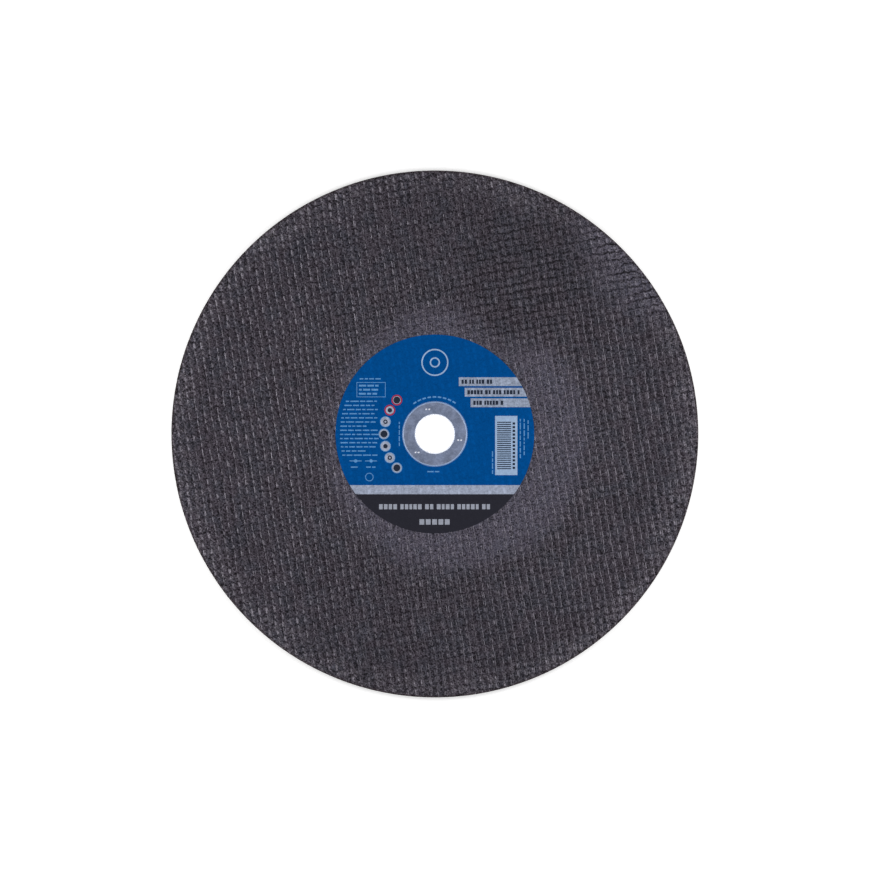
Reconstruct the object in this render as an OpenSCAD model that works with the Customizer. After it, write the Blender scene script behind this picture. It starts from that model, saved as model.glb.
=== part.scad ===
// Flat cut-off wheel for a chop saw: a resin-bonded abrasive disc with a woven glass net
// pressed into both faces, a round paper label and a pressed steel ring that lines the bore.
// It lies on its rear face. The origin is the centre of that face and +Z points out of the label.

/* [Wheel] */
// Outer diameter of the wheel
wheel_d = 350; // [300:1:400]
// Thickness over the crests of the weave on both faces
wheel_t = 4.5; // [3.5:0.1:6]

/* [Weave] */
// Spacing of the warp ribs of the glass net
warp_pitch = 4.93; // [4:0.01:8]
// Lean of the ribs from the label's upright, counter-clockwise
warp_lean = 9.1; // [0:0.1:45]
// Width of a rib across its flattened crest
rib_crest_w = 0.9; // [0.5:0.1:1.2]
// Width of a rib at its foot
rib_foot_w = 2; // [1.6:0.1:2.6]
// Height of a rib over the abrasive between the ribs
weave_depth = 0.3; // [0.2:0.05:0.4]

/* [Bore ring] */
// Bore that slides on the saw's spindle
bore_d = 25.4; // [20:0.1:32]
// Outer diameter of the ring's flange
ring_flange_d = 43.6; // [40:0.1:50]
// Thickness of the steel sheet
ring_sheet = 0.5; // [0.4:0.05:0.6]
// Radius of the bend at the mouth of the bore
ring_mouth_r = 0.8; // [0.7:0.05:1]
// Width of the flange's rolled-down outer edge
ring_edge_w = 1.3; // [0.8:0.1:2]
// How far the collar stops short of the rear face
collar_short = 0.3; // [0.1:0.1:0.6]
// Gap all round between the collar and the abrasive
collar_gap = 0.1; // [0.05:0.05:0.2]

/* [Punch marks] */
// Number of places with a pair of punch marks on the flange
mark_places = 3; // [0:1:6]
// Direction of the first place, from +X
mark_turn = 106; // [0:1:119]
// Diameter of one punch mark
mark_d = 1.3; // [0.8:0.1:1.6]
// Distance between the two marks of a pair
mark_apart = 2; // [1.8:0.1:3]
// Depth of a punch mark
mark_depth = 0.15; // [0.1:0.05:0.25]

/* [Label] */
// Outer diameter of the paper label
label_d = 132; // [110:1:160]
// Thickness of the paper
label_t = 0.2; // [0.1:0.05:0.3]
// Gap all round between the label's hole and the ring's flange
label_gap = 0.2; // [0.1:0.05:0.5]

/* [Label print] */
// Distance from the centre down to the pale strip
strip_drop = 34; // [28:0.5:42]
// Height of the pale strip, with the dark field below it
strip_h = 6; // [3:0.5:8]
// Number of stepped pale bars on the right
bar_count = 3; // [1:1:4]
// Height of the first bar's top edge over the centre
bar_top = 37.6; // [30:0.1:45]
// Height of a bar
bar_h = 5.8; // [3:0.1:6.5]
// Distance from one bar down to the next
bar_pitch = 7; // [6.6:0.1:8]
// Distance from the centre to the left end of the first bar
bar_left = 15.9; // [10:0.1:22]
// How far each bar starts to the right of the one above
bar_step = 3.9; // [0:0.1:6]
// Distance from the centre to the left edge of the pale panel
panel_left = 40; // [36:0.1:42]
// Width of the pale panel
panel_w = 14.8; // [10:0.1:15]
// Height of the pale panel's top edge over the centre
panel_top = 12; // [6:0.1:14]
// Height of the pale panel
panel_h = 39.3; // [20:0.1:40]

/* [Hidden] */
$fn = 96;
wheel_r = wheel_d / 2;
core_t = wheel_t - 2 * weave_depth;

// A rib is a flattened yarn: one arc that meets the crest's edges and the foot's edges
rib_arc_drop = (pow(rib_foot_w / 2, 2) - pow(rib_crest_w / 2, 2) - pow(weave_depth, 2)) / (2 * weave_depth);
rib_arc_r = norm([rib_foot_w / 2, rib_arc_drop]);
rib_root = weave_depth;
rib_last = floor((wheel_r - rib_foot_w) / warp_pitch);
overrun = 5;

collar_r = bore_d / 2 + ring_sheet;
seat_r = collar_r + collar_gap;
bend_relief = ring_mouth_r;
ring_top = wheel_t + ring_sheet;
flange_r = ring_flange_d / 2;
flange_edge_r = (pow(ring_edge_w, 2) + pow(ring_sheet, 2)) / (2 * ring_sheet);
mark_r = (bore_d / 2 + ring_mouth_r + flange_r - ring_edge_w) / 2;
mark_ball_r = (pow(mark_d / 2, 2) + pow(mark_depth, 2)) / (2 * mark_depth);

label_r = label_d / 2;
label_hole_r = flange_r + label_gap;

// Section of one warp rib, with its foot on the X axis and a root below it
module rib_section() {
    intersection() {
        translate([0, -rib_arc_drop]) circle(r = rib_arc_r);
        translate([-rib_arc_r, -rib_root]) square([2 * rib_arc_r, rib_root + weave_depth]);
    }
}

// All the warp ribs of one face, standing on the plane Z = 0
module warp_ribs() {
    rotate([0, 0, warp_lean])
        for (i = [-rib_last : rib_last])
            translate([i * warp_pitch, 0, 0])
                rotate([90, 0, 0])
                    linear_extrude(height = wheel_d + 2 * overrun, center = true)
                        rib_section();
}

// Hole for the ring's collar, opened at the front for the ring's bend
module collar_seat() {
    translate([0, 0, -overrun]) cylinder(h = wheel_t + 2 * overrun, r = seat_r);
    translate([0, 0, wheel_t - bend_relief])
        cylinder(h = 2 * bend_relief, r1 = seat_r, r2 = seat_r + 2 * bend_relief);
}

// The abrasive with its two pressed-in nets, cured as one solid
module abrasive_disc() {
    color("#403d44")
        difference() {
            intersection() {
                cylinder(h = wheel_t, r = wheel_r);
                union() {
                    translate([0, 0, weave_depth]) cylinder(h = core_t, r = wheel_r + overrun);
                    translate([0, 0, wheel_t - weave_depth]) warp_ribs();
                    translate([0, 0, weave_depth]) mirror([0, 0, 1]) warp_ribs();
                }
            }
            collar_seat();
        }
}

// Flat outline of the label
module label_outline() {
    difference() {
        circle(r = label_r);
        circle(r = label_hole_r);
    }
}

// Pale fields of the print: the strip, the stepped bars and the panel
module pale_print() {
    translate([-label_r, -strip_drop - strip_h]) square([label_d, strip_h]);
    for (i = [0 : bar_count - 1])
        translate([bar_left + i * bar_step, bar_top - bar_h - i * bar_pitch]) square([label_r, bar_h]);
    translate([panel_left, panel_top - panel_h]) square([panel_w, panel_h]);
}

// Dark field of the print, below the strip
module dark_print() {
    translate([-label_r, -label_d - strip_drop - strip_h]) square([label_d, label_d]);
}

// One paper ring; its coloured fields lie edge to edge
module paper_label() {
    translate([0, 0, wheel_t]) {
        color("#c4c9d0")
            linear_extrude(height = label_t)
                intersection() {
                    label_outline();
                    pale_print();
                }
        color("#26262f")
            linear_extrude(height = label_t)
                intersection() {
                    label_outline();
                    dark_print();
                }
        color("#034888")
            linear_extrude(height = label_t)
                difference() {
                    label_outline();
                    pale_print();
                    dark_print();
                }
    }
}

// Section of the ring's bend, a quarter turn from the collar to the flange
module bend_section() {
    translate([bore_d / 2 + ring_mouth_r, ring_top - ring_mouth_r])
        intersection() {
            difference() {
                circle(r = ring_mouth_r);
                circle(r = ring_mouth_r - ring_sheet);
            }
            translate([-2 * ring_mouth_r, 0]) square(2 * ring_mouth_r);
        }
}

// Section of the flange, whose outer edge curves down to the weave
module flange_section() {
    flat_from = bore_d / 2 + ring_mouth_r;
    flat_to = flange_r - ring_edge_w;
    translate([flat_from, wheel_t]) square([flat_to - flat_from, ring_sheet]);
    intersection() {
        translate([flat_to, ring_top - flange_edge_r]) circle(r = flange_edge_r);
        translate([flat_to, wheel_t]) square([ring_edge_w, ring_sheet]);
    }
}

// Section of the straight collar that lines the bore
module collar_section() {
    translate([bore_d / 2, collar_short])
        square([ring_sheet, ring_top - ring_mouth_r - collar_short]);
}

// Pairs of punch marks around the flange, each pair level with the print
module punch_marks() {
    if (mark_places > 0)
        for (i = [0 : mark_places - 1], side = [-1, 1])
            translate([side * mark_apart / 2, 0, ring_top - mark_depth + mark_ball_r])
                rotate([0, 0, mark_turn + i * 360 / mark_places])
                    translate([mark_r, 0, 0])
                        sphere(r = mark_ball_r);
}

// The pressed steel ring: a flange on the front face and a collar through the bore
module bore_ring() {
    color("#777f92")
        difference() {
            rotate_extrude() {
                collar_section();
                bend_section();
                flange_section();
            }
            punch_marks();
        }
}

abrasive_disc();
paper_label();
bore_ring();
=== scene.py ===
"""Looks of a cut-off wheel: woven faces, rim, printed label and steel ring, in a plain studio."""

import math

import bpy
import numpy as np
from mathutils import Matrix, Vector
from mathutils.geometry import delaunay_2d_cdt


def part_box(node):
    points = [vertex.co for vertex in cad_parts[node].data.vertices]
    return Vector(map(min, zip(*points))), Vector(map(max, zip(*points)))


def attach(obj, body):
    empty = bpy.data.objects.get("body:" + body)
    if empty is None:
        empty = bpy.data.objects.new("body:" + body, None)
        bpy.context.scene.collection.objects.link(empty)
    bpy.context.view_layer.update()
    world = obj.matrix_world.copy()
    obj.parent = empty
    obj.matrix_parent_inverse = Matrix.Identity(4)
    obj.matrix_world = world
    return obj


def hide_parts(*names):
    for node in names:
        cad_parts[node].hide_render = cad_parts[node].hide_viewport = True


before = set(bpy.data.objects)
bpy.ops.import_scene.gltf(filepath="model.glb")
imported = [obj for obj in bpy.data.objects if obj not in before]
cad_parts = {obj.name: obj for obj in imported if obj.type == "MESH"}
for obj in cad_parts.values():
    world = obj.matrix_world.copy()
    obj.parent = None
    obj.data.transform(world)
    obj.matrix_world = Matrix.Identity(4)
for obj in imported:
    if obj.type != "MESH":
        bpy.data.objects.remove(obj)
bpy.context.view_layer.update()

MM = 0.001

# Sizes that come from the frame
disc_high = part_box("abrasive_disc")[1]
label_low, label_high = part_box("paper_label")
ring_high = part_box("bore_ring")[1]
WHEEL_R = disc_high.y
WHEEL_TOP = disc_high.z
LABEL_R = label_high.y
LABEL_FOOT = label_low.z
LABEL_TOP = label_high.z
RING_R = ring_high.y
RING_TOP = ring_high.z

# Pitches, directions and height of the net in the faces
WARP_PITCH = 4.93 * MM
WEFT_PITCH = 5.03 * MM
WARP_LEAN = math.radians(9.1)
WEFT_RISE = math.radians(10.3)
WEAVE_DEPTH = 0.3 * MM

# Half widths of a warp yarn and half the length of its bar over a weft, in parts of a pitch
CROWN_HALF = 0.13
YARN_HALF = 0.23
YARN_BAR_HALF = 0.38

# Heights in parts of the weave's depth: a yarn's foot, its dip between bars, its lowest bar, the weft
YARN_FOOT = 0.5
YARN_DIP = 0.5
LOWEST_BAR = 0.72
WEFT_HEIGHT = 0.45

# Differences between the yarns, in parts of a pitch; the width's is in parts of itself
YARN_JOG = 0.1
YARN_WIDTH_VARIES = 0.5
GAP_JOG = 0.34
GAP_SKEW = 0.06

# A jog is full as near as this to the yarn's line, in parts of a pitch, and gone at the second distance
JOG_FULL = 0.25
JOG_END = 0.45

# Slow sideways drift of the whole net, a sum of waves
DRIFT_COUNT = 9
DRIFT_LENGTHS = (22 * MM, 90 * MM)
DRIFT_PHASE = 6.28
DRIFT_REACH_X = 0.9 * MM
DRIFT_REACH_Y = 0.7 * MM

# Share of the gaps that a yarn's flanks bridge at the left and right rim, and its fade to top and bottom
YARN_RUNS_ON = (0.85, 0.4)
RUNS_ON_FADE = (1, 0.3)

# Lines drawn on the net, in parts of a pitch: half a weft, and how far strands and links lie aside
WEFT_HALF = 0.2
STRAND_ASIDE = 0.06
LINK_ASIDE = 0.2

# Lattice lines within a pitch; the rear face has fewer
COLUMNS = (-0.5, -YARN_HALF, -CROWN_HALF, CROWN_HALF, YARN_HALF)
FRONT_ROWS = (-0.5, -YARN_BAR_HALF, YARN_BAR_HALF)
REAR_ROWS = (-0.5, 0.0)

# Lattice points this near to an edge circle move on to it, and a hair tells which are on it
SNAP_REACH = 0.25 * MM
HAIR = 1e-6

# The grain's roughness and deepest pit, in weave depths; yarns are smoother and the hub zone is flatter
GRAIN_ROUGH = 0.1
GRAIN_DEEPEST = 1.4
YARN_SMOOTHS = 0.6
HUB_SMOOTHS = 0.1

# The hub zone around the label is smoother and paler; its centre is a little off the axis
HUB_CENTRE = (14 * MM, -3 * MM)
HUB_R = 86 * MM
HUB_FADE = 10 * MM

# Between the hub zone and the rim, the net is creased in one area, with painted shade in its creases, and in
# another has a painted sheen, pale and bluish, with rougher yarn
CREASE_CENTRE = (57 * MM, 103 * MM)
CREASE_R = 58 * MM
CREASE_FULL_R = CREASE_R * 0.45
SHEEN_CENTRE = (155 * MM, 134 * MM)
SHEEN_R = 70 * MM
SHEEN_FULL_R = SHEEN_R * 0.55

# Widths of the rim zone and of the dark outermost edge, and how ragged the zones' borders are
RIM_ZONE_W = 22 * MM
EDGE_W = 1.8 * MM
EDGE_FULL_W = 0.5 * MM
RAGGED = 26 * MM

# The moulded rim: sides and heights of its loops, how deep and uneven they are, and its worn corners
RIM_SIDES = 960
RIM_LEVELS = (0.2, 0.4, 0.6, 0.8)
RIM_NIBBLE = 0.18 * MM
RIM_UNEVEN = 0.08 * MM
RIM_WEAR_W = 1.2 * MM
RIM_WEAR_DEPTH = 0.35 * MM

# The ring's bore, sheet and bend and the gap round its collar, as in the part's source
BORE_R = 12.7 * MM
RING_SHEET = 0.5 * MM
RING_BEND = 0.8 * MM
COLLAR_GAP = 0.1 * MM

# Hidden parts of the disc: the face under the label and the seat of the ring's collar
NET_INNER_R = LABEL_R - 1.5 * MM
UNDER_LABEL_R = LABEL_R - 3 * MM
UNDER_LABEL_Z = WHEEL_TOP - 0.05 * MM
UNDER_LABEL_SIDES = 192
SEAT_R = BORE_R + RING_SHEET + COLLAR_GAP
SEAT_LOW_Z = 0.6 * MM
SEAT_SIDES = 96

# The label's hole, the sides of its rounds, and how near, in millimetres, two points of its print are one
LABEL_HOLE_R = RING_R + 0.05 * MM
LABEL_SIDES = 288
HOLE_SIDES = 160
PRINT_HAIR = 1e-5

# The ring's bands, where highlights and a reflection are painted: the bend at its mouth, the start of what
# lies below the flat, and the rolled edge
MOUTH_R = BORE_R + RING_BEND
MOUTH_FADE = 1 * MM
BELOW_FLAT = (0.01 * MM, 0.08 * MM)
ROLLED_EDGE = (1.1 * MM, 0.5 * MM)
RING_SHARP_ANGLE = math.radians(35)

# Features per metre of the patterns on the faces, the rim, the paper and the steel
PATCH_SCALE = 26
TINT_SCALE = 110
LUMP_SCALE = 420
GRAIN_SCALE = 650
STONE_SCALE = 1100
FINE_SCALE = 1300
RIM_PATCH_SCALE = 60
RIM_PIT_SCALE = 900
RIM_FINE_SCALE = 1500
PAPER_PATCH_SCALE = 130
FIBRE_SCALE = 900
STEEL_PATCH_SCALE = 180
MOTTLE_SCALE = 900

# Heights of the fine relief that is only shaded
GRAIN_BUMP = 0.3 * MM
YARN_BUMP = 0.08 * MM
RIM_BUMP = 0.25 * MM
PAPER_BUMP = 0.06 * MM
STEEL_BUMP = 0.01 * MM

# The label's large fields, in millimetres from the axis, as in the part's source
STRIP_DROP = 34
STRIP_H = 6
BAR_COUNT = 3
BAR_TOP = 37.6
BAR_H = 5.8
BAR_PITCH = 7
BAR_LEFT = 15.9
BAR_STEP = 3.9
PANEL_LEFT = 40
PANEL_W = 14.8
PANEL_TOP = 12
PANEL_H = 39.3

# Framing of the photograph
PHOTO_SIDE = 870
PHOTO_DISC_CENTRE = (434.86, 433.96)
PHOTO_DISC_R = 263.57
LENS = 100

# The studio's floor, in metres, with its own glow near the wheel and far from it
FLOOR_R = 2.4
BEND_R = 0.6
BEND_LOOPS = 9
WALL_TOP = 1.4
FLOOR_SIDES = 96
GLOW_AWAY = (0.2, 0.75)
GLOW_LEVEL = (0.4, 0.8)

# The studio's light: level of the world, and each strip lamp's name, place aside, width and share
WORLD_LEVEL = 0.33
LAMP_HEIGHT = 0.38
LAMP_LENGTH = 0.44
LAMPS = (("left_strip", -0.33, 0.1, 0.36), ("right_strip", 0.33, 0.22, 0.4))

# Material numbers on the disc
ABRASIVE_SLOT, YARN_SLOT, RIM_SLOT = range(3)

rng = np.random.default_rng(7)
print_rng = np.random.default_rng(11)


# Colours


def srgb(red, green, blue):
    """Linear colour with alpha from 0 to 255 display values."""
    values = np.array([red, green, blue]) / 255
    linear = np.where(values <= 0.04045, values / 12.92, ((values + 0.055) / 1.055) ** 2.4)
    return (*linear.tolist(), 1.0)


# The disc; a pair holds the warm and the cool tint of one colour
GRAIN_DARK = (srgb(36, 31, 38), srgb(33, 32, 39))
GRAIN_GREY = (srgb(73, 68, 76), srgb(69, 68, 77))
YARN_LOW = (srgb(42, 37, 44), srgb(38, 38, 45))
YARN_HIGH = (srgb(60, 55, 63), srgb(56, 56, 64))
# Pale flecks and links of the yarn, also painted in more strongly towards the rim as painted highlight
FLECK_AND_RIM_HIGHLIGHT = srgb(124, 119, 128)
LINK_AND_RIM_HIGHLIGHT = srgb(96, 91, 100)
LUMP = srgb(124, 119, 126)
# Painted highlight on the strands of warp yarn near the rim
STRAND_HIGHLIGHT = srgb(128, 123, 132)
# Painted shade in the furrows between the bars of yarn
FURROW_SHADE = srgb(22, 19, 24)
HUB_HAZE = srgb(117, 114, 133)
# Painted sheen, pale and bluish, over a patch near the upper right rim
SHEEN = srgb(107, 106, 124)
# Painted shade in the creases of the net
CREASE_SHADE = srgb(30, 27, 33)
RIM_HAZE = srgb(116, 111, 120)
EDGE = srgb(56, 44, 44)
RIM_DARK = srgb(40, 35, 35)
RIM_GREY = srgb(76, 69, 69)
RIM_PALE = srgb(104, 92, 88)
YARN_SHINE = (0.94, 0.88, 1.0, 1.0)

# The steel ring, with painted highlights at the mouth and in the marks and a painted reflection on the edge
STEEL_DARK = srgb(131, 142, 169)
STEEL_PALE = srgb(148, 159, 186)
STEEL_MOUTH_HIGHLIGHT = srgb(240, 243, 250)
STEEL_MARK_HIGHLIGHT = srgb(224, 226, 232)
STEEL_EDGE_REFLECTION = srgb(134, 166, 206)

# The studio
WHITE = (1.0, 1.0, 1.0, 1.0)
FLOOR_GREY = (0.82, 0.82, 0.82, 1.0)

# Inks of the label: colour, and how far the paper's fibres and the net below it change it
INK_LOOKS = {
    "blue": (srgb(1, 72, 137), 0.3),
    "pale": (srgb(152, 160, 180), 0.5),
    "bar": (srgb(144, 154, 174), 0.6),
    "dark": (srgb(41, 41, 49), 0.1),
    "panel": (srgb(150, 173, 203), 0.2),
    "light": (srgb(150, 154, 167), 0.2),
    "mist": (srgb(92, 142, 192), 0.2),
    "ink": (srgb(38, 45, 60), 0.1),
    "red": (srgb(158, 40, 66), 0.15),
}
INKS = list(INK_LOOKS)


# Node helpers


class Look:
    """A material with one Principled shader and short ways to add nodes to it."""

    def __init__(self, name, roughness, metallic=0.0, specular=0.5):
        self.material = bpy.data.materials.new(name)
        self.material.use_nodes = True
        self.tree = self.material.node_tree
        self.shader = self.tree.nodes["Principled BSDF"]
        self.shader.inputs["Roughness"].default_value = roughness
        self.shader.inputs["Metallic"].default_value = metallic
        self.shader.inputs["Specular IOR Level"].default_value = specular

    def put(self, value, socket):
        """Links a socket to an input, or sets the input to a plain value."""
        if isinstance(value, bpy.types.NodeSocket):
            self.tree.links.new(value, socket)
        else:
            socket.default_value = value

    def math(self, operation, a, b=0.0):
        node = self.tree.nodes.new("ShaderNodeMath")
        node.operation = operation
        for value, socket in zip((a, b), node.inputs):
            self.put(value, socket)
        return node.outputs[0]

    def add(self, a, b):
        return self.math("ADD", a, b)

    def sub(self, a, b):
        return self.math("SUBTRACT", a, b)

    def mul(self, a, b):
        return self.math("MULTIPLY", a, b)

    def larger(self, a, b):
        return self.math("MAXIMUM", a, b)

    def absolute(self, a):
        return self.math("ABSOLUTE", a)

    def linear(self, value, base, slope):
        """A base plus a slope times a value."""
        return self.add(base, self.mul(value, slope))

    def away(self, x, y):
        """Length of the way x, y."""
        return self.math("SQRT", self.add(self.mul(x, x), self.mul(y, y)))

    def ease(self, value, start, end, low=0.0, high=1.0):
        """Smooth step of a value from low at start to high at end."""
        node = self.tree.nodes.new("ShaderNodeMapRange")
        node.interpolation_type = "SMOOTHSTEP"
        if start > end:
            start, end, low, high = end, start, high, low
        for setting, socket in zip((value, start, end, low, high), node.inputs):
            self.put(setting, socket)
        return node.outputs[0]

    def mix(self, share, a, b):
        """A share of colour b in colour a; the node's colours are its inputs 6 and 7 and its output 2."""
        node = self.tree.nodes.new("ShaderNodeMix")
        node.data_type = "RGBA"
        self.put(share, node.inputs[0])
        self.put(a, node.inputs[6])
        self.put(b, node.inputs[7])
        return node.outputs[2]

    def tinted(self, tint, pair):
        """A colour between its warm and its cool tint."""
        return self.mix(self.ease(tint, 0.35, 0.7), *pair)

    def scaled(self, colour, by):
        """A colour times a number."""
        node = self.tree.nodes.new("ShaderNodeVectorMath")
        node.operation = "SCALE"
        self.put(colour[:3] if isinstance(colour, tuple) else colour, node.inputs[0])
        self.put(by, node.inputs["Scale"])
        return node.outputs[0]

    def noise(self, place, scale, detail, roughness):
        node = self.tree.nodes.new("ShaderNodeTexNoise")
        self.put(place, node.inputs["Vector"])
        node.inputs["Scale"].default_value = scale
        node.inputs["Detail"].default_value = detail
        node.inputs["Roughness"].default_value = roughness
        return node.outputs[0]

    def cells(self, place, scale):
        node = self.tree.nodes.new("ShaderNodeTexVoronoi")
        self.put(place, node.inputs["Vector"])
        node.inputs["Scale"].default_value = scale
        return node.outputs

    def cell_chance(self, place, scale):
        """A number from 0 to 1 that is the same all over a cell."""
        return self.split(self.cells(place, scale)["Color"])[0]

    def place(self):
        """Position on the piece, in metres in the wheel's frame."""
        return self.tree.nodes.new("ShaderNodeTexCoord").outputs["Object"]

    def split(self, vector):
        node = self.tree.nodes.new("ShaderNodeSeparateXYZ")
        self.put(vector, node.inputs[0])
        return node.outputs

    def joined(self, x, y):
        node = self.tree.nodes.new("ShaderNodeCombineXYZ")
        for value, socket in zip((x, y), node.inputs):
            self.put(value, socket)
        return node.outputs[0]

    def bump(self, height, distance):
        node = self.tree.nodes.new("ShaderNodeBump")
        node.inputs["Strength"].default_value = 1.0
        node.inputs["Distance"].default_value = distance
        self.put(height, node.inputs["Height"])
        self.put(node.outputs[0], self.shader.inputs["Normal"])

    def colour(self, value):
        self.put(value, self.shader.inputs["Base Color"])

    def roughness(self, value):
        self.put(value, self.shader.inputs["Roughness"])


# The weave as numbers: p counts warp lines and q counts weft lines


def weave_axes():
    """Steps from one warp line to the next and from one weft line to the next."""
    across = np.array([math.cos(WEFT_RISE), math.sin(WEFT_RISE)])
    along = np.array([-math.sin(WARP_LEAN), math.cos(WARP_LEAN)])
    square = math.cos(WEFT_RISE - WARP_LEAN)
    return across * WARP_PITCH / square, along * WEFT_PITCH / square


def step(values, start, end):
    """Smooth step from 0 at start to 1 at end."""
    share = np.clip((values - start) / (end - start), 0, 1)
    return share * share * (3 - 2 * share)


def wobble(x, y, reach, waves):
    """Slow sideways drift of the yarns, a sum of seeded waves."""
    total = np.zeros_like(x)
    for kx, ky, phase in waves:
        total += np.sin(kx * x + ky * y + phase)
    return total * reach / len(waves)


def drift_waves():
    """Wave vectors and phases for wobble."""
    length = rng.uniform(*DRIFT_LENGTHS, DRIFT_COUNT)
    turn = rng.uniform(0, 2 * math.pi, DRIFT_COUNT)
    phase = rng.uniform(0, DRIFT_PHASE, DRIFT_COUNT)
    wave = 2 * math.pi / length
    return np.stack([wave * np.cos(turn), wave * np.sin(turn), phase], axis=1)


def bar_table():
    """Random numbers for the bars of yarn; the net repeats them far apart."""
    return rng.random((256, 256))


DRIFT_X = drift_waves()
DRIFT_Y = drift_waves()
BAR_CHANCE = bar_table()
BAR_CHANCE = np.mean([np.roll(BAR_CHANCE, shift, axis=1) for shift in range(3)], axis=0)
BAR_JOG = bar_table()
BAR_WIDTH = bar_table()
GAP_PLACE = bar_table()


def of_bar(table, p, q):
    """The random number in a table for the bar of yarn at each place."""
    rows, columns = table.shape
    return table[np.floor(p + 0.5).astype(int) % rows, np.floor(q + 0.5).astype(int) % columns]


def yarn_place(p, q):
    """Where a point of the net really lies, with each bar's own jog and width and each gap's own place."""
    line = np.floor(p + 0.5)
    along = np.abs(q - np.floor(q + 0.5))
    on_bar = 1 - step(along, YARN_BAR_HALF, 0.5)
    width = 1 + YARN_WIDTH_VARIES * (of_bar(BAR_WIDTH, p, q) - 0.5) * on_bar
    jog = YARN_JOG * (of_bar(BAR_JOG, p, q) - 0.5) * on_bar
    gap = GAP_JOG * (of_bar(GAP_PLACE, p, 2 * q) - 0.5) - GAP_SKEW * np.sign(p - line)
    near = 1 - step(np.abs(p - line), JOG_FULL, JOG_END)
    return p + near * ((p - line) * (width - 1) + jog), q + near * gap


def weave_height(p, q):
    """Height of the net over the abrasive, from 0 to 1."""
    along = np.abs(q - np.floor(q + 0.5))
    aside = np.abs(p - np.floor(p + 0.5))
    yarn = np.interp(aside, (0, CROWN_HALF, YARN_HALF, 0.5), (1, 1, YARN_FOOT, 0))
    yarn *= 1 - YARN_DIP * step(along, YARN_BAR_HALF, 0.5)
    yarn *= LOWEST_BAR + (1 - LOWEST_BAR) * of_bar(BAR_CHANCE, p, q)
    weft = WEFT_HEIGHT * (1 - step(along, WEFT_HALF, 0.5))
    return np.maximum(yarn, weft)


def hub_share(x, y):
    """1 inside the smoother hub zone, 0 outside."""
    away = np.hypot(x - HUB_CENTRE[0], y - HUB_CENTRE[1])
    return 1 - step(away, HUB_R - HUB_FADE, HUB_R + HUB_FADE)


# Meshes


class Skin:
    """Vertices with weave coordinates, and faces with a material number."""

    def __init__(self):
        self.places = []
        self.weave = []
        self.faces = []
        self.slots = []

    def add_points(self, places, weave):
        first = len(self.places)
        self.places.extend(map(tuple, places))
        self.weave.extend(map(tuple, weave))
        return np.arange(first, len(self.places))

    def add_faces(self, faces, slot, flip=False):
        for face in faces:
            corners = [int(v) for v in face]
            self.faces.append(corners[::-1] if flip else corners)
            self.slots.append(slot)

    def piece(self, name, looks):
        """Makes the object with its materials and its weave coordinates."""
        mesh = bpy.data.meshes.new(name)
        mesh.from_pydata(self.places, [], self.faces)
        for look in looks:
            mesh.materials.append(look.material)
        mesh.polygons.foreach_set("material_index", self.slots)
        field = mesh.attributes.new("weave", "FLOAT_VECTOR", "POINT")
        field.data.foreach_set("vector", np.array(self.weave, dtype=np.float32).ravel())
        mesh.validate()
        mesh.update()
        piece = bpy.data.objects.new(name, mesh)
        bpy.context.scene.collection.objects.link(piece)
        return piece


def lattice_lines(fractions, reach):
    """Places of the lattice lines, in pitches, over a reach to both sides."""
    count = int(math.ceil(reach)) + 1
    return np.array([k + f for k in range(-count, count + 1) for f in fractions])


def on_circle(a, b, radius):
    """Share of the way from a to b at which the line meets a circle about the axis."""
    way = b - a
    half_b = a @ way
    square = way @ way
    root = math.sqrt(max(half_b * half_b - square * (a @ a - radius * radius), 0.0))
    for share in ((-half_b - root) / square, (-half_b + root) / square):
        if 0 <= share <= 1:
            return share
    return 0.5


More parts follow.
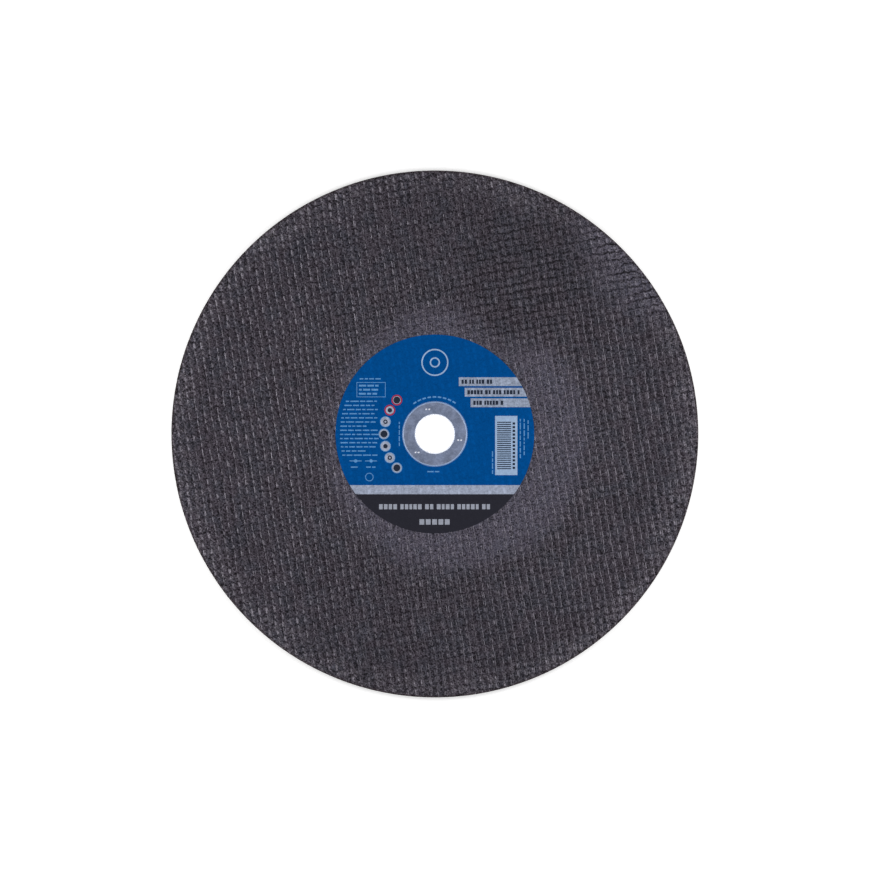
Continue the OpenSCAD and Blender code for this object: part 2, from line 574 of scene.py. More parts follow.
class Lattice:
    """A net of points along the yarns, cut to the ring between two radii."""

    def __init__(self, columns, rows, inner, outer):
        self.inner = inner
        self.outer = outer
        p_lines = lattice_lines(columns, outer / WARP_PITCH)
        q_lines = lattice_lines(rows, outer / WEFT_PITCH)
        p, q = np.meshgrid(p_lines, q_lines, indexing="ij")
        across, along = weave_axes()
        p_moved, q_moved = yarn_place(p, q)
        x = p_moved * across[0] + q_moved * along[0]
        y = p_moved * across[1] + q_moved * along[1]
        drift_x = wobble(x, y, DRIFT_REACH_X, DRIFT_X)
        drift_y = wobble(x, y, DRIFT_REACH_Y, DRIFT_Y)
        x += drift_x
        y += drift_y
        self.snap(x, y)
        self.xy = np.stack([x, y], axis=-1).reshape(-1, 2)
        self.pq = np.stack([p, q], axis=-1).reshape(-1, 2)
        self.shape = p.shape
        self.polygons = []
        self.cut_edges = {}
        self.cut()

    def snap(self, x, y):
        """Moves points that are almost on an edge circle on to it."""
        for radius in (self.inner, self.outer):
            away = np.hypot(x, y)
            near = np.abs(away - radius) < SNAP_REACH
            x[near] *= radius / away[near]
            y[near] *= radius / away[near]

    def cut(self):
        """Keeps the cells between the circles and cuts those on them."""
        away = np.hypot(self.xy[:, 0], self.xy[:, 1])
        inside = (away > self.inner - HAIR) & (away < self.outer + HAIR)
        number = np.arange(len(self.xy)).reshape(self.shape)
        cells = np.stack([number[:-1, :-1], number[1:, :-1], number[1:, 1:], number[:-1, 1:]], axis=-1)
        cells = cells.reshape(-1, 4)
        kept = inside[cells].sum(axis=1)
        self.polygons = [list(cell) for cell in cells[kept == 4]]
        extra_xy = []
        extra_pq = []
        for cell in cells[(kept > 0) & (kept < 4)]:
            ring = []
            for a, b in zip(cell, np.roll(cell, -1)):
                if inside[a]:
                    ring.append(a)
                if inside[a] != inside[b]:
                    ring.append(self.crossing(a, b, away, extra_xy, extra_pq))
            ring = list(dict.fromkeys(ring))
            if len(ring) > 2:
                self.polygons.append(ring)
        self.xy = np.concatenate([self.xy, np.array(extra_xy).reshape(-1, 2)])
        self.pq = np.concatenate([self.pq, np.array(extra_pq).reshape(-1, 2)])

    def crossing(self, a, b, away, extra_xy, extra_pq):
        """The point where a lattice edge meets an edge circle, made once for each edge."""
        for corner in (a, b):
            if min(abs(away[corner] - self.inner), abs(away[corner] - self.outer)) < HAIR:
                return corner
        key = (min(a, b), max(a, b))
        if key not in self.cut_edges:
            middle = (self.inner + self.outer) / 2
            radius = self.outer if max(away[a], away[b]) > middle else self.inner
            share = on_circle(self.xy[key[0]], self.xy[key[1]], radius)
            self.cut_edges[key] = len(self.xy) + len(extra_xy)
            extra_xy.append(self.xy[key[0]] * (1 - share) + self.xy[key[1]] * share)
            extra_pq.append(self.pq[key[0]] * (1 - share) + self.pq[key[1]] * share)
        return self.cut_edges[key]

    def on_flank(self, ring):
        """True for a face on the flank of a warp yarn, over a weft or where two bars of yarn run on."""
        p, q = self.pq[ring].mean(axis=0)
        aside = abs(p - math.floor(p + 0.5))
        along = abs(q - math.floor(q + 0.5))
        x, y = self.xy[ring[0]]
        share = np.interp(x, (-WHEEL_R, WHEEL_R), YARN_RUNS_ON)
        share *= np.interp(abs(y), (0, WHEEL_R), RUNS_ON_FADE)
        runs_on = along < YARN_BAR_HALF or of_bar(GAP_PLACE, p, 2 * q) < share
        return CROWN_HALF < aside < YARN_HALF and runs_on

    def add_to(self, skin, height, flip):
        """Adds the cut lattice to a skin and returns its two edge loops, inner first."""
        used = np.unique(np.concatenate([np.array(ring) for ring in self.polygons]))
        xy = self.xy[used]
        pq = self.pq[used]
        z = height(pq[:, 0], pq[:, 1], xy[:, 0], xy[:, 1])
        weave = np.column_stack([pq, np.zeros(len(pq))])
        numbers = np.zeros(len(self.xy), dtype=int)
        numbers[used] = skin.add_points(np.column_stack([xy, z]), weave)
        for ring in self.polygons:
            skin.add_faces([numbers[ring]], YARN_SLOT if self.on_flank(ring) else ABRASIVE_SLOT, flip)
        loops = []
        for radius in (self.inner, self.outer):
            edge = np.abs(np.hypot(xy[:, 0], xy[:, 1]) - radius) < HAIR
            order = np.argsort(np.arctan2(xy[edge, 1], xy[edge, 0]))
            loops.append(numbers[used[edge][order]])
        return loops


def angles_of(skin, loop):
    """Directions of a loop's points from the axis."""
    return [math.atan2(skin.places[v][1], skin.places[v][0]) for v in loop]


def zip_loops(skin, lower, upper, slot):
    """Joins two loops that run the same way round the axis with one band of triangles."""
    low_turn = angles_of(skin, lower)
    up_turn = angles_of(skin, upper)
    low_turn.append(low_turn[0] + 2 * math.pi)
    up_turn.append(up_turn[0] + 2 * math.pi)
    i = 0
    j = 0
    band = []
    while i < len(lower) or j < len(upper):
        a = lower[i % len(lower)]
        b = upper[j % len(upper)]
        if j == len(upper) or (i < len(lower) and low_turn[i + 1] <= up_turn[j + 1]):
            i += 1
            band.append((a, lower[i % len(lower)], b))
        else:
            j += 1
            band.append((a, upper[j % len(upper)], b))
    skin.add_faces(band, slot)


def ring_points(skin, radius, z, count):
    """One round loop, from -180 degrees up, with the radius and height as numbers or arrays."""
    turn = -math.pi + (np.arange(count) + 0.5) * 2 * math.pi / count
    places = np.column_stack([radius * np.cos(turn), radius * np.sin(turn), z + np.zeros(count)])
    return skin.add_points(places, np.zeros((count, 3)))


# Materials


def weave_fields(look):
    """Sockets that say where a point is in the net: shares of each line and chances of its bar of yarn."""
    node = look.tree.nodes.new("ShaderNodeAttribute")
    node.attribute_name = "weave"
    p, q, _ = look.split(node.outputs["Vector"])
    line = look.math("FLOOR", look.add(p, 0.5))
    pick = look.math("FLOOR", look.add(q, 0.5))
    white = look.tree.nodes.new("ShaderNodeTexWhiteNoise")
    white.noise_dimensions = "2D"
    look.put(look.joined(line, pick), white.inputs["Vector"])
    chance, second, third = look.split(white.outputs["Color"])

    offset = look.sub(p, line)
    along = look.absolute(look.sub(q, pick))
    ends = look.linear(second, along, 0.12)
    strand = look.ease(look.absolute(look.add(offset, STRAND_ASIDE)), 0.13, 0.04)
    bright = look.mul(strand, look.ease(ends, 0.42, 0.16))
    between = look.sub(look.math("FRACT", q), 0.5)
    from_gap = look.absolute(between)
    slant = look.ease(look.absolute(look.add(look.sub(offset, LINK_ASIDE), between)), 0.14, 0.05)
    return {
        "yarn": look.ease(look.absolute(offset), YARN_HALF + 0.04, CROWN_HALF - 0.03),
        "over": look.ease(ends, YARN_BAR_HALF + 0.08, YARN_BAR_HALF - 0.08),
        "weft": look.ease(along, WEFT_HALF * 1.7, WEFT_HALF * 0.8),
        "strand": strand,
        "fleck": look.mul(bright, look.ease(third, 0.3, 0.95)),
        "gap": look.ease(from_gap, 0.18, 0.08),
        "link": look.mul(slant, look.ease(from_gap, 0.3, 0.16)),
        "run": look.noise(look.joined(look.mul(p, 0.75), q), 1.0, 2.0, 0.5),
        "chance": chance,
        "second": second,
    }


def zones(look, place, patch):
    """Sockets with the shares of the zones of the face: hub, rim, outermost edge, creases and the patch of
    painted sheen.
    """
    x, y, z = look.split(place)
    on_front = look.math("GREATER_THAN", z, WHEEL_TOP / 2)
    ragged = look.mul(look.sub(patch, 0.5), RAGGED)

    def away_from(centre):
        return look.away(look.sub(x, centre[0]), look.sub(y, centre[1]))

    def zone(centre, outer, inner):
        return look.ease(look.add(away_from(centre), ragged), outer, inner)

    axis = (0, 0)
    hub = zone(HUB_CENTRE, HUB_R + HUB_FADE, HUB_R - HUB_FADE)
    crease = look.mul(zone(CREASE_CENTRE, CREASE_R, CREASE_FULL_R), on_front)
    return {
        "hub": look.mul(hub, look.sub(1.0, crease)),
        "rim": zone(axis, WHEEL_R - RIM_ZONE_W, WHEEL_R),
        "edge": look.ease(away_from(axis), WHEEL_R - EDGE_W, WHEEL_R - EDGE_FULL_W),
        "crease": crease,
        "sheen": look.mul(zone(SHEEN_CENTRE, SHEEN_R, SHEEN_FULL_R), on_front),
    }


def zone_colour(look, body, zone, hub_haze):
    """A colour hazed in the hub zone and the rim, paler with a painted sheen in its patch, with painted
    shade in the creases, and darkened at the edge.
    """
    shares = (
        ("hub", hub_haze, HUB_HAZE),
        ("sheen", 0.2, SHEEN),
        ("crease", 0.1, CREASE_SHADE),
        ("rim", 0.05, RIM_HAZE),
        ("edge", 0.5, EDGE),
    )
    for name, share, colour in shares:
        body = look.mix(look.mul(zone[name], share), body, colour)
    return body


def with_furrow_shade(look, body, net, zone):
    """A colour with painted shade in the furrows along the weft, deeper in the creases, in the patch of
    painted sheen and at the rim.
    """
    creased = look.larger(zone["crease"], zone["sheen"])
    deep = look.mul(creased, look.ease(net["run"], 0.36, 0.58, 0.0, 0.65))
    deep = look.linear(zone["rim"], deep, 0.2)
    return look.mix(look.mul(net["gap"], look.add(0.04, deep)), body, FURROW_SHADE)


def with_strand_highlight(look, body, net, zone):
    """A colour with a painted highlight on the strands of warp yarn towards the rim."""
    pale = look.mul(look.mul(net["over"], zone["rim"]), 0.5)
    return look.mix(look.mul(net["strand"], pale), body, STRAND_HIGHLIGHT)


def grain_level(look, place, patch, strength):
    """Sockets with a level that changes grain by grain and patch by patch, and with the grain itself."""
    fine = look.noise(place, FINE_SCALE, 1.0, 0.5)
    grain = look.noise(place, GRAIN_SCALE, 1.0, 0.5)
    rough = look.mul(look.linear(look.sub(grain, 0.5), look.sub(fine, 0.5), 0.6), strength)
    level = look.larger(look.add(1.0, rough), 0.2)
    return look.mul(level, look.linear(patch, 0.77, 0.36)), grain


def abrasive_look():
    """Dark grain and resin, with the weft and the crowns of the warp just below it."""
    look = Look("abrasive_grain", roughness=0.8, specular=0.1)
    place = look.place()
    net = weave_fields(look)
    patch = look.noise(place, PATCH_SCALE, 3.0, 0.6)
    tint = look.noise(place, TINT_SCALE, 2.0, 0.5)
    zone = zones(look, place, patch)
    rim = zone["rim"]
    level, grain = grain_level(look, place, patch, look.linear(rim, 2.9, 0.8))

    grey = look.tinted(tint, GRAIN_GREY)
    stone = look.cell_chance(place, STONE_SCALE)
    body = look.mix(look.ease(stone, 0.1, 1.0), look.tinted(tint, GRAIN_DARK), grey)
    body = look.mix(look.mul(net["weft"], 0.12), body, grey)
    body = look.mix(look.mul(net["yarn"], look.ease(net["over"], 0.0, 1.0, 0.05, 0.15)), body, grey)
    # Pale flecks and links of the yarn, with more painted in towards the rim as a painted highlight
    body = look.mix(look.mul(net["fleck"], look.linear(rim, 0.55, 0.4)), body, FLECK_AND_RIM_HIGHLIGHT)
    body = look.mix(look.mul(net["link"], look.linear(rim, 0.4, 0.3)), body, LINK_AND_RIM_HIGHLIGHT)
    bare = look.mul(look.larger(rim, zone["sheen"]), 0.3)
    lump = look.ease(look.cell_chance(place, LUMP_SCALE), 0.6, 0.9)
    body = look.mix(look.mul(lump, bare), body, LUMP)
    body = zone_colour(look, with_strand_highlight(look, body, net, zone), zone, 0.22)
    look.colour(look.scaled(with_furrow_shade(look, body, net, zone), level))
    look.bump(look.linear(stone, grain, 0.4), GRAIN_BUMP)
    return look


def yarn_look():
    """Glass yarn under a film of resin, which shines where it rises over the weft."""
    look = Look("glass_yarn", roughness=0.3, specular=0.53)
    place = look.place()
    net = weave_fields(look)
    patch = look.noise(place, PATCH_SCALE, 3.0, 0.6)
    tint = look.noise(place, TINT_SCALE, 2.0, 0.5)
    zone = zones(look, place, patch)
    level, grain = grain_level(look, place, patch, 2.4)

    shows = look.mul(net["over"], look.ease(net["chance"], 0.0, 1.0, 0.4, 1.0))
    body = look.mix(shows, look.tinted(tint, YARN_LOW), look.tinted(tint, YARN_HIGH))
    body = zone_colour(look, with_strand_highlight(look, body, net, zone), zone, 0.17)
    look.colour(look.scaled(with_furrow_shade(look, body, net, zone), level))
    look.bump(grain, YARN_BUMP)
    look.shader.inputs["Specular Tint"].default_value = YARN_SHINE
    dull = look.add(look.mul(net["second"], 0.1), look.mul(look.sub(1.0, net["over"]), 0.25))
    dull = look.linear(zone["crease"], dull, 0.12)
    dull = look.linear(zone["sheen"], dull, 0.25)
    look.roughness(look.add(0.23, dull))
    return look


def rim_look():
    """The moulded edge: brownish grain with small pits."""
    look = Look("rim_grain", roughness=0.85, specular=0.35)
    place = look.place()
    pits = look.cells(place, RIM_PIT_SCALE)["Distance"]
    fine = look.noise(place, RIM_FINE_SCALE, 2.0, 0.6)
    patch = look.noise(place, RIM_PATCH_SCALE, 3.0, 0.6)
    body = look.mix(look.ease(fine, 0.35, 0.65), RIM_DARK, RIM_GREY)
    body = look.mix(look.ease(pits, 0.55, 0.75, 0.0, 0.5), body, RIM_PALE)
    look.colour(look.scaled(body, look.linear(patch, 0.8, 0.4)))
    look.bump(look.add(pits, fine), RIM_BUMP)
    return look


def paper_look(name, colour, mottle):
    """Printed matt paper that shows the net below it faintly."""
    look = Look(name, roughness=0.6, specular=0.01)
    place = look.place()
    fibre = look.sub(look.noise(place, FIBRE_SCALE, 2.0, 0.6), 0.5)
    patch = look.sub(look.noise(place, PAPER_PATCH_SCALE, 3.0, 0.6), 0.5)
    net = weave_fields(look)
    relief = look.mul(look.mul(net["yarn"], net["over"]), look.ease(net["chance"], 0.0, 1.0, 0.3, 1.0))
    change = look.add(look.mul(fibre, 2.2), look.add(patch, look.sub(look.mul(relief, 0.5), 0.1)))
    look.colour(look.scaled(colour, look.linear(change, 1.0, mottle)))
    look.bump(look.add(relief, fibre), PAPER_BUMP)
    look.roughness(look.ease(fibre, -0.2, 0.2, 0.52, 0.68))
    return look


def steel_look():
    """Dull pressed steel with a fine mottle, with painted highlights in the punch marks and on the bent
    mouth and a painted reflection on the rolled edge.
    """
    look = Look("ring_steel", roughness=0.42, metallic=1.0)
    place = look.place()
    x, y, z = look.split(place)
    away = look.away(x, y)
    mottle = look.noise(place, MOTTLE_SCALE, 3.0, 0.6)
    patch = look.noise(place, STEEL_PATCH_SCALE, 3.0, 0.6)
    body = look.mix(look.ease(mottle, 0.3, 0.7), STEEL_DARK, STEEL_PALE)
    body = look.scaled(body, look.linear(patch, 0.8, 0.4))
    # Painted highlight, near white, on the bend at the mouth and in the punch marks below the flat
    bright = look.mix(look.ease(away, MOUTH_R, MOUTH_R + MOUTH_FADE), STEEL_MOUTH_HIGHLIGHT, STEEL_MARK_HIGHLIGHT)
    below_flat = look.ease(z, RING_TOP - BELOW_FLAT[0], RING_TOP - BELOW_FLAT[1])
    body = look.mix(below_flat, body, bright)
    # Painted reflection, light blue, on the rolled outer edge
    on_edge = look.ease(away, RING_R - ROLLED_EDGE[0], RING_R - ROLLED_EDGE[1])
    look.colour(look.mix(on_edge, body, STEEL_EDGE_REFLECTION))
    bent = look.mul(look.larger(below_flat, on_edge), 0.36)
    look.roughness(look.add(look.ease(patch, 0.3, 0.7, 0.38, 0.48), bent))
    look.bump(mottle, STEEL_BUMP)
    return look


def floor_look():
    """White where the camera or a mirror sees it, with the object's shadow left on it."""
    look = Look("floor_white", roughness=0.9, specular=0.1)
    look.colour(FLOOR_GREY)
    path = look.tree.nodes.new("ShaderNodeLightPath")
    seen = look.larger(path.outputs["Is Camera Ray"], path.outputs["Is Glossy Ray"])
    seen = look.larger(seen, path.outputs["Is Transmission Ray"])
    x, y, _ = look.split(look.place())
    glow = look.ease(look.away(x, y), *GLOW_AWAY, *GLOW_LEVEL)
    look.shader.inputs["Emission Color"].default_value = WHITE
    look.put(look.mul(seen, glow), look.shader.inputs["Emission Strength"])
    return look


# The disc


def rim_wear(x, y):
    """How far the corner of the rim is worn down at each place."""
    return RIM_WEAR_DEPTH * step(np.hypot(x, y), WHEEL_R - RIM_WEAR_W, WHEEL_R)


def front_height(p, q, x, y):
    """Height of the front face: the net over the rough abrasive, rounded off at the rim."""
    relief = weave_height(p, q) * (1 - HUB_SMOOTHS * hub_share(x, y))
    rough = rng.normal(0, GRAIN_ROUGH, len(p)) * (1 - YARN_SMOOTHS * relief)
    return WHEEL_TOP - WEAVE_DEPTH * np.clip(1 - relief + rough, 0, GRAIN_DEEPEST) - rim_wear(x, y)


def rear_height(p, q, x, y):
    """Height of the rear face, which has the same net."""
    return WEAVE_DEPTH * (1 - weave_height(p, q)) + rim_wear(x, y)


def make_disc():
    """The whole abrasive disc as one closed skin."""
    skin = Skin()
    front = Lattice(COLUMNS, FRONT_ROWS, NET_INNER_R, WHEEL_R)
    rear = Lattice(COLUMNS, REAR_ROWS, SEAT_R, WHEEL_R)
    front_in, front_out = front.add_to(skin, front_height, False)
    rear_in, rear_out = rear.add_to(skin, rear_height, True)

    last = rear_out
    for share in RIM_LEVELS:
        radius = WHEEL_R - RIM_NIBBLE * rng.random(RIM_SIDES) ** 2
        height = WHEEL_TOP * share + rng.normal(0, RIM_UNEVEN, RIM_SIDES)
        loop = ring_points(skin, radius, height, RIM_SIDES)
        zip_loops(skin, last, loop, RIM_SLOT)
        last = loop
    zip_loops(skin, last, front_out, RIM_SLOT)

    seat_low = ring_points(skin, SEAT_R, SEAT_LOW_Z, SEAT_SIDES)
    seat_high = ring_points(skin, SEAT_R, WHEEL_TOP - RING_BEND, SEAT_SIDES)
    mouth = ring_points(skin, SEAT_R + RING_BEND, UNDER_LABEL_Z, SEAT_SIDES)
    under = ring_points(skin, UNDER_LABEL_R, UNDER_LABEL_Z, UNDER_LABEL_SIDES)
    zip_loops(skin, front_in, under, ABRASIVE_SLOT)
    zip_loops(skin, under, mouth, ABRASIVE_SLOT)
    zip_loops(skin, mouth, seat_high, RIM_SLOT)
    zip_loops(skin, seat_high, seat_low, RIM_SLOT)
    zip_loops(skin, seat_low, rear_in, RIM_SLOT)

    disc = skin.piece("woven_disc", [abrasive_look(), yarn_look(), rim_look()])
    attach(disc, "root")
    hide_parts("abrasive_disc")


# The label's print, in millimetres from the axis


def box(left, bottom, right, top):
    """Outline of an upright rectangle."""
    return [(left, bottom), (right, bottom), (right, top), (left, top)]


def ladder(left, right, top, pitch, height, count):
    """Outlines of equal rectangles one below the other."""
    tops = [top - pitch * i for i in range(count)]
    return [box(left, upper - height, right, upper) for upper in tops]


def round_outline(x, y, radius, count=32):
    """Outline of a disc."""
    turns = [2 * math.pi * i / count for i in range(count)]
    return [(x + radius * math.cos(t), y + radius * math.sin(t)) for t in turns]


def arc_box(radius, height, start, end):
    """Outline of a dash bent round the axis, between two directions in degrees."""
    turns = np.radians(np.linspace(start, end, 4))
    inner = [(radius * math.cos(t), radius * math.sin(t)) for t in turns]
    outer = [(x * (1 + height / radius), y * (1 + height / radius)) for x, y in inner]
    return inner + outer[::-1]


def dashes(start, end, shortest, longest, gap):
    """Starts and ends of a row of dashes of random lengths."""
    row = []
    at = start
    while at < end - shortest:
        stop = min(at + print_rng.uniform(shortest, longest), end)
        row.append((at, stop))
        at = stop + gap
    return row


def blocks(start, end, width, gap, space):
    """Starts and ends of a row of small blocks in random groups."""
    row = []
    at = start
    while at < end:
        for _ in range(print_rng.integers(2, 6)):
            row.append((at, at + width * print_rng.uniform(0.75, 1.15)))
            at = row[-1][1] + gap
        at += space
    return [(a, b) for a, b in row if b <= end]


def dash_row(left, right, y, height=0.8):
    """Outlines of a row of thin dashes."""
    return [box(a, y - height / 2, b, y + height / 2) for a, b in dashes(left, right, 1.6, 5.5, 0.9)]


def dash_column(x, bottom, top, width=0.7):
    """Outlines of a row of thin dashes that runs upwards."""
    return [box(x - width / 2, a, x + width / 2, b) for a, b in dashes(bottom, top, 1.4, 4.5, 0.9)]


def block_row(left, right, y, height, width, gap, space):
    """Outlines of a row of small blocks in random groups."""
    return [box(a, y - height / 2, b, y + height / 2) for a, b in blocks(left, right, width, gap, space)]


def field_print(put):
    """The large fields: strip, dark foot and stepped bars, which the label's edge cuts, and panel."""
    past_edge = 4
    reach = LABEL_R / MM + past_edge
    foot_top = -STRIP_DROP - STRIP_H
    put("pale", box(-reach, foot_top, reach, -STRIP_DROP))
    put("dark", box(-reach, -reach, reach, foot_top))
    for i in range(BAR_COUNT):
        top = BAR_TOP - BAR_PITCH * i
        put("bar", box(BAR_LEFT + BAR_STEP * i, top - BAR_H, reach, top))
    put("panel", box(PANEL_LEFT, PANEL_TOP - PANEL_H, PANEL_LEFT + PANEL_W, PANEL_TOP))


def bar_print(put):
    """Dark blocks on the stepped bars, and even stripes and ticks on the panel."""
    margin = 1.8
    for i, right in enumerate((40, 57, 47)):
        left = BAR_LEFT + BAR_STEP * i + margin
        middle = BAR_TOP - BAR_H / 2 - BAR_PITCH * i
        put("ink", *block_row(left, right, middle, height=2.8, width=1.6, gap=0.5, space=1.1))
    put("ink", *ladder(left=41.3, right=50.6, top=8.1, pitch=1.4, height=0.7, count=23))
    put("ink", *ladder(left=51.6, right=53.3, top=7.7, pitch=2.45, height=1.5, count=13))


def row_print(put):
    """Rows of dashes on the left of the blue field, which start along the label's edge."""
    margin = 3
    row_top = 21.7
    row_pitch = 2.75
    row_end = -38.5
    end_varies = 3.5
    short_rows = (6, 12)
    short_by = 8
    reach = LABEL_R / MM - margin
    for i in range(14):
        y = row_top - row_pitch * i
        right = row_end + end_varies * print_rng.random() - (short_by if i in short_rows else 0)
        put("mist", *dash_row(-math.sqrt(reach * reach - y * y), right, y))


def frame_print(put):
    """A thin frame over the rows, with three rows of dashes inside and one above."""
    left, bottom, right, top = -52, 24.4, -32.7, 34.4
    line = 0.4
    put("mist", box(left, bottom, right, top))
    put("blue", box(left + line, bottom + line, right - line, top - line))
    row_start = -50.4
    row_end = -36
    end_varies = -3
    for y in (32.1, 29.4, 26.7):
        put("mist", *dash_row(row_start, row_end + end_varies * print_rng.random(), y, height=1.2))
    put("mist", *dash_row(left=-50, right=-35.5, y=36.6))


def column_print(put):
    """Columns of dashes beside the ring and the panel, a short row below the ring and a bent row over it."""
    columns = ((-23.6, -8, 8), (38.3, -26.5, -11), (56.7, -16, 10), (59.3, -14, 10), (61.9, -3, 10))
    for x, bottom, top in columns:
        put("mist", *dash_column(x, bottom, top))
    put("mist", *dash_row(left=-5, right=5, y=-25))
    dash_turn = 5.5
    for start in range(56, 122, 8):
        put("mist", arc_box(radius=24.1, height=1.0, start=start, end=start + dash_turn))


def mark_print(put):
    """Plain round marks in an arc, and two concentric rings at the label's top."""
    arc_r = 33.8
    first_turn = 138.3
    turn_step = 13.9
    for k in range(7):
        turn = math.radians(first_turn + turn_step * k)
        x = arc_r * math.cos(turn)
        y = arc_r * math.sin(turn)
        red_edge = k < 2
        put("red" if red_edge else "mist", round_outline(x, y, 3.6))
        put("pale", round_outline(x, y, 2.7 if red_edge else 3.2))
        put("ink", round_outline(x, y, 2.3 if k % 3 == 0 else 1.5, 24))
        if k % 3 == 2:
            put("pale", round_outline(x, y, 0.7, 16))
    rings_y = 47.5
    for ink, radius in (("panel", 9.0), ("blue", 8.1), ("panel", 3.4), ("blue", 2.5)):
        put(ink, round_outline(0, rings_y, radius, 48))


def shape_print(put):
    """Small shapes below the rows: two bars with a disc and a row of dashes, and a thin ring."""
    bar_y = -17.9
    bar_half_w = 4
    bar_half_h = 0.3
    row_y = -22
    row_half = 3.2
    for x in (-52.6, -42.4):
        put("mist", box(x - bar_half_w, bar_y - bar_half_h, x + bar_half_w, bar_y + bar_half_h))
        put("mist", round_outline(x, bar_y, 1.1, 16))
        put("mist", *dash_row(x - row_half, x + row_half, row_y))
    ring_x = -43.5
    ring_y = -28.6
    for ink, radius in (("mist", 2.8), ("blue", 2.3)):
        put(ink, round_outline(ring_x, ring_y, radius, 24))


def foot_print(put):
    """Two rows of pale blocks on the dark foot."""
    put("light", *block_row(left=-37, right=37.5, y=-48.3, height=3.4, width=2.3, gap=0.8, space=1.5))
    block_left = -10.2
    block_pitch = 4.2
    block_w = 3.2
    for i in range(5):
        left = block_left + block_pitch * i
        put("light", box(left, bottom=-60.2, right=left + block_w, top=-56.6))


def label_print():
    """All the outlines of the print with the ink of each, in painting order."""
    shapes = []

    def put(ink, *outlines):
        shapes.extend((ink, np.array(outline)) for outline in outlines)

    parts = (
        field_print, bar_print, row_print, frame_print, column_print, mark_print, shape_print, foot_print,
    )
    for part in parts:
        part(put)
    return shapes


# The label


def within(outline, points):
    """True for each point that lies inside an outline."""
    low = outline.min(axis=0)
    high = outline.max(axis=0)
    hits = np.zeros(len(points), dtype=bool)
    near = np.all((points > low) & (points < high), axis=1)
    x, y = points[near].T
    inside = np.zeros(len(x), dtype=bool)
    for (ax, ay), (bx, by) in zip(outline, np.roll(outline, -1, axis=0)):
        if ay != by:
            inside ^= ((ay > y) != (by > y)) & (x < ax + (bx - ax) * (y - ay) / (by - ay))
    hits[near] = inside
    return hits


def label_sheet(shapes):
    """Flat triangles of the label, cut along the print, with the ink of each triangle."""
    rim = np.array(round_outline(0, 0, LABEL_R / MM, LABEL_SIDES))
    hole = np.array(round_outline(0, 0, LABEL_HOLE_R / MM, HOLE_SIDES))
    points = []
    edges = []
    for outline in [rim, hole] + [outline for _, outline in shapes]:
        first = len(points)
        count = len(outline)
        points.extend(Vector(place) for place in outline)
        edges.extend((first + i, first + (i + 1) % count) for i in range(count))
    places, _, faces, _, _, _ = delaunay_2d_cdt(points, edges, [], 0, PRINT_HAIR)
    places = np.array([tuple(place) for place in places])
    faces = np.array(faces)
    middle = places[faces].mean(axis=1)
    kept = within(rim, middle) & ~within(hole, middle)
    faces = faces[kept]
    middle = middle[kept]
    inks = np.full(len(faces), INKS.index("blue"))
    for ink, outline in shapes:
        inks[within(outline, middle)] = INKS.index(ink)
    return places, faces, inks


def border_edges(faces):
    """The edges that only one face has, in that face's direction."""
    edges = set()
    for a, b, c in faces.tolist():
        for edge in ((a, b), (b, c), (c, a)):
            if edge[::-1] in edges:
                edges.remove(edge[::-1])
            else:
                edges.add(edge)
    return np.array(sorted(edges))


def make_label():
    """The paper label: a thin closed sheet whose top is cut along its print."""
    places, faces, inks = label_sheet(label_print())
    across, along = weave_axes()
    weave = places * MM @ np.linalg.inv(np.column_stack([across, along])).T
    weave = np.column_stack([weave, np.zeros(len(weave))])
    skin = Skin()
    top = skin.add_points(np.column_stack([places * MM, np.full(len(places), LABEL_TOP)]), weave)
    foot = skin.add_points(np.column_stack([places * MM, np.full(len(places), LABEL_FOOT)]), weave)
    bare = INKS.index("pale")
    for face, ink in zip(faces, inks):
        skin.add_faces([top[face]], int(ink))
        skin.add_faces([foot[face]], bare, flip=True)
    for a, b in border_edges(faces):
        skin.add_faces([(foot[a], foot[b], top[b], top[a])], bare)
    label = skin.piece("printed_label", [paper_look("label_" + ink, *INK_LOOKS[ink]) for ink in INKS])
    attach(label, "root")
    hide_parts("paper_label")


def make_ring():
    """The steel ring keeps its solid and gets its material."""
    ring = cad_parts["bore_ring"]
    ring.data.materials.clear()
    ring.data.materials.append(steel_look().material)
    ring.data.shade_smooth()
    ring.data.set_sharp_from_angle(angle=RING_SHARP_ANGLE)


make_disc()
make_label()
make_ring()


# Studio


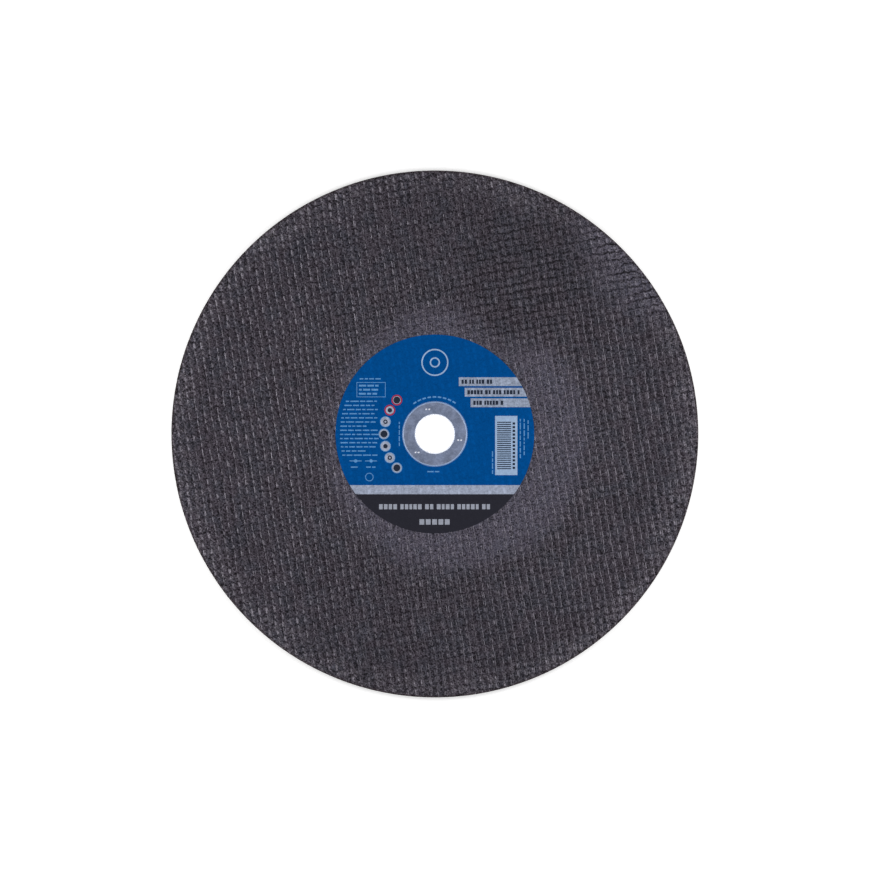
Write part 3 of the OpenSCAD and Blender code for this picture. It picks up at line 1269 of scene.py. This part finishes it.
def make_floor():
    """A round floor that bends up into a low wall far from the wheel."""
    bend = np.linspace(0, math.pi / 2, BEND_LOOPS)
    radius = np.append(FLOOR_R + BEND_R * np.sin(bend), FLOOR_R + BEND_R)
    height = np.append(BEND_R * (1 - np.cos(bend)), WALL_TOP)
    turn = np.linspace(0, 2 * math.pi, FLOOR_SIDES, endpoint=False)
    places = [(0.0, 0.0, 0.0)]
    for r, z in zip(radius, height):
        places.extend((r * math.cos(t), r * math.sin(t), z) for t in turn)
    after = [*range(1, FLOOR_SIDES), 0]
    faces = [(0, 1 + i, 1 + after[i]) for i in range(FLOOR_SIDES)]
    for ring in range(len(radius) - 1):
        low = 1 + ring * FLOOR_SIDES
        high = low + FLOOR_SIDES
        faces.extend((low + i, high + i, high + after[i], low + after[i]) for i in range(FLOOR_SIDES))
    mesh = bpy.data.meshes.new("floor")
    mesh.from_pydata(places, [], faces)
    mesh.shade_smooth()
    mesh.materials.append(floor_look().material)
    floor = bpy.data.objects.new("floor", mesh)
    bpy.context.scene.collection.objects.link(floor)


def make_lamp(name, aside, width, share):
    """A strip lamp aimed at the wheel that gives this share of the plain light level there."""
    data = bpy.data.lights.new(name, "AREA")
    data.shape = "RECTANGLE"
    data.size = LAMP_LENGTH
    data.size_y = width
    away = Vector((aside, 0.0, LAMP_HEIGHT))
    slope = away.normalized().z
    data.energy = share * math.pi**2 * away.length_squared / slope
    lamp = bpy.data.objects.new(name, data)
    lamp.location = away
    lamp.rotation_mode = "QUATERNION"
    lamp.rotation_quaternion = (-away).to_track_quat("-Z", "Y")
    bpy.context.scene.collection.objects.link(lamp)


def make_world():
    """Even white light from all sides."""
    world = bpy.data.worlds.new("studio")
    world.use_nodes = True
    back = world.node_tree.nodes["Background"]
    back.inputs["Color"].default_value = WHITE
    back.inputs["Strength"].default_value = WORLD_LEVEL
    bpy.context.scene.world = world


def make_camera():
    """Looks straight down, with the wheel where the photograph has it."""
    per_pixel = WHEEL_R / PHOTO_DISC_R
    data = bpy.data.cameras.new("camera")
    data.lens = LENS
    distance = PHOTO_SIDE * per_pixel * LENS / data.sensor_width
    camera = bpy.data.objects.new("camera", data)
    right = (PHOTO_SIDE / 2 - PHOTO_DISC_CENTRE[0]) * per_pixel
    up = (PHOTO_DISC_CENTRE[1] - PHOTO_SIDE / 2) * per_pixel
    camera.location = (right, up, WHEEL_TOP + distance)
    bpy.context.scene.collection.objects.link(camera)
    bpy.context.scene.camera = camera


make_floor()
make_world()
for lamp in LAMPS:
    make_lamp(*lamp)
make_camera()
bpy.context.scene.view_settings.view_transform = "Standard"
